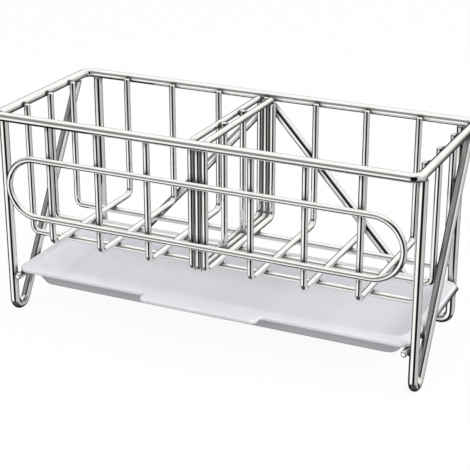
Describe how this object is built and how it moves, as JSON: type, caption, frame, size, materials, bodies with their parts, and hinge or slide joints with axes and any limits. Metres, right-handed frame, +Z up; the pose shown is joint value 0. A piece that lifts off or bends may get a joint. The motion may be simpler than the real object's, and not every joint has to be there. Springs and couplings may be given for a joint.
{
  "type": "sink sponge holder",
  "caption": "Free-standing wire rack with two open baskets, a wire guard loop, bent wire legs and a drip tray that slides out to the front.",
  "frame": {"origin": "on the floor, under the middle of the rack", "axes": "+X along the rack to the right, -Y to the front where the tray is pulled out, +Z up"},
  "size_m": [0.24, 0.1, 0.12],
  "materials": {
    "steel_wire": "polished round wire",
    "tray_plastic": "frosted white moulding"
  },
  "bodies": {
    "rack": {"top_rim": "steel_wire", "left_front_leg": "steel_wire", "right_front_leg": "steel_wire", "back_leg_frame": "steel_wire", "front_guard_loop": "steel_wire", "left_cross_wire_1": "steel_wire", "left_cross_wire_2": "steel_wire", "left_cross_wire_3": "steel_wire", "right_cross_wire_1": "steel_wire", "right_cross_wire_2": "steel_wire", "right_cross_wire_3": "steel_wire", "long_wire_front": "steel_wire", "long_wire_middle": "steel_wire", "long_wire_back": "steel_wire", "divider_left_frame": "steel_wire", "divider_right_frame": "steel_wire", "divider_center_wire": "steel_wire", "divider_bar_front": "steel_wire", "divider_bar_back": "steel_wire", "left_tray_rail": "steel_wire", "right_tray_rail": "steel_wire"},
    "tray": {"drip_tray": "tray_plastic"}
  },
  "joints": [
    {"name": "tray_slide", "type": "slide", "parent": "rack", "child": "tray", "axis": [0, -1, 0], "range_m": [0, 0.085]}
  ]
}
